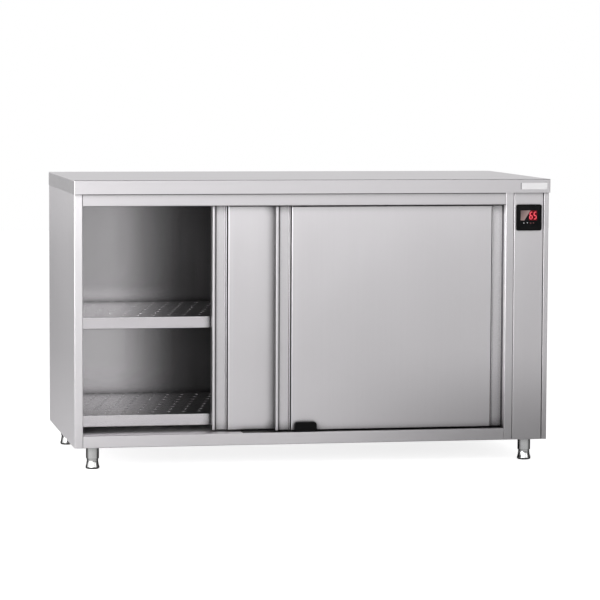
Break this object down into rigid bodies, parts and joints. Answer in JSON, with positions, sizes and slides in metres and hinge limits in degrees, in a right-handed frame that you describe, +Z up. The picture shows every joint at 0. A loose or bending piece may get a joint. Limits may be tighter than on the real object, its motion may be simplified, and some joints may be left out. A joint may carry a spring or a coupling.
{
  "type": "plate warmer cabinet",
  "caption": "Stainless-steel heated plate cabinet with a worktop, two sliding doors on a hanging track, perforated shelves, a fan heater column and adjustable feet.",
  "frame": {"origin": "middle of the footprint, on the floor under the feet", "axes": "+X to the right along the front, +Y towards the back, +Z up; the doors face -Y"},
  "size_m": [1.4, 0.7, 0.838],
  "materials": {
    "satin_steel": "brushed stainless steel sheet, satin",
    "liner_steel": "plain stainless steel sheet, soft satin",
    "polished_steel": "polished stainless steel tube",
    "zinc_steel": "zinc-plated steel",
    "black_plastic": "black moulded plastic, fine grain",
    "black_gloss": "glossy black front of the display",
    "white_nylon": "natural nylon",
    "black_rubber": "black rubber",
    "mineral_wool": "pressed mineral-wool board",
    "core_board": "moisture-resistant board",
    "motor_black": "black painted die casting",
    "fan_aluminium": "plain aluminium",
    "heater_alloy": "oxidised heater sheath",
    "white_plastic": "off-white moulded plastic"
  },
  "bodies": {
    "cabinet": {"worktop": "satin_steel", "worktop_core": "core_board", "side_panel_left": "satin_steel", "side_panel_right": "satin_steel", "back_panel": "satin_steel", "base_panel": "satin_steel", "bottom_rail": "satin_steel", "top_rail": "satin_steel", "post_right": "satin_steel", "control_panel": "satin_steel", "liner_left": "liner_steel", "partition": "liner_steel", "liner_back": "liner_steel", "liner_roof": "liner_steel", "floor_panel": "liner_steel", "insulation": "mineral_wool", "door_track": "zinc_steel", "sill_strip": "black_plastic", "door_guide": "black_plastic", "door_stops": "black_rubber", "shelf_upper": "liner_steel", "shelf_lower": "liner_steel", "shelf_stiffeners": "liner_steel", "shelf_supports": "liner_steel", "air_grille": "polished_steel", "air_duct": "zinc_steel", "fan_motor": "motor_black", "ring_heater": "heater_alloy", "safety_thermostat": "white_plastic", "temperature_probe": "polished_steel", "terminal_block": "white_plastic", "cable_gland": "black_plastic", "controller_bezel": "black_plastic", "controller_window": "black_gloss", "controller_housing": "black_plastic", "leg_plates": "zinc_steel", "leg_tubes": "polished_steel"},
    "front_door": {"front_door_face": "satin_steel", "front_door_inner": "satin_steel", "front_door_core": "mineral_wool", "front_door_handle_left": "satin_steel", "front_door_handle_right": "satin_steel", "front_door_hangers": "zinc_steel"},
    "rear_door": {"rear_door_face": "satin_steel", "rear_door_inner": "satin_steel", "rear_door_core": "mineral_wool", "rear_door_handle_left": "satin_steel", "rear_door_handle_right": "satin_steel", "rear_door_hangers": "zinc_steel"},
    "front_roller_left": {"front_roller_left": "white_nylon"},
    "front_roller_right": {"front_roller_right": "white_nylon"},
    "rear_roller_left": {"rear_roller_left": "white_nylon"},
    "rear_roller_right": {"rear_roller_right": "white_nylon"},
    "fan": {"fan_wheel": "fan_aluminium"},
    "foot_front_left": {"foot_front_left": "polished_steel"},
    "foot_front_right": {"foot_front_right": "polished_steel"},
    "foot_rear_left": {"foot_rear_left": "polished_steel"},
    "foot_rear_right": {"foot_rear_right": "polished_steel"}
  },
  "joints": [
    {"name": "front_door_slide", "type": "slide", "parent": "cabinet", "child": "front_door", "axis": [1, 0, 0], "range_m": [-0.5745, 0]},
    {"name": "front_roller_left_spin", "type": "hinge", "parent": "front_door", "child": "front_roller_left", "pos_m": [0.0005, -0.3, 0.7772], "axis": [0, 1, 0], "range_deg": [-3301.6, 10]},
    {"name": "front_roller_right_spin", "type": "hinge", "parent": "front_door", "child": "front_roller_right", "pos_m": [0.469, -0.3, 0.7772], "axis": [0, 1, 0], "range_deg": [-3301.6, 10]},
    {"name": "rear_door_slide", "type": "slide", "parent": "cabinet", "child": "rear_door", "axis": [1, 0, 0], "range_m": [-0.39, 0.1805]},
    {"name": "rear_roller_left_spin", "type": "hinge", "parent": "rear_door", "child": "rear_roller_left", "pos_m": [-0.18, -0.264, 0.7772], "axis": [0, 1, 0], "range_deg": [-2244.5, 1044.2]},
    {"name": "rear_roller_right_spin", "type": "hinge", "parent": "rear_door", "child": "rear_roller_right", "pos_m": [0.2885, -0.264, 0.7772], "axis": [0, 1, 0], "range_deg": [-2244.5, 1044.2]},
    {"name": "fan_spin", "type": "hinge", "parent": "cabinet", "child": "fan", "pos_m": [0.603, 0.0455, 0.282], "axis": [1, 0, 0], "continuous": true},
    {"name": "front_left_foot_adjust", "type": "slide", "parent": "cabinet", "child": "foot_front_left", "axis": [0, 0, -1], "range_m": [0, 0.02]},
    {"name": "front_right_foot_adjust", "type": "slide", "parent": "cabinet", "child": "foot_front_right", "axis": [0, 0, -1], "range_m": [0, 0.02]},
    {"name": "rear_left_foot_adjust", "type": "slide", "parent": "cabinet", "child": "foot_rear_left", "axis": [0, 0, -1], "range_m": [0, 0.02]},
    {"name": "rear_right_foot_adjust", "type": "slide", "parent": "cabinet", "child": "foot_rear_right", "axis": [0, 0, -1], "range_m": [0, 0.02]}
  ],
  "couplings": [
    {"joint": "front_roller_left_spin", "follows": "front_door_slide", "rad_per_m": 100},
    {"joint": "front_roller_right_spin", "follows": "front_door_slide", "rad_per_m": 100},
    {"joint": "rear_roller_left_spin", "follows": "rear_door_slide", "rad_per_m": 100},
    {"joint": "rear_roller_right_spin", "follows": "rear_door_slide", "rad_per_m": 100}
  ]
}
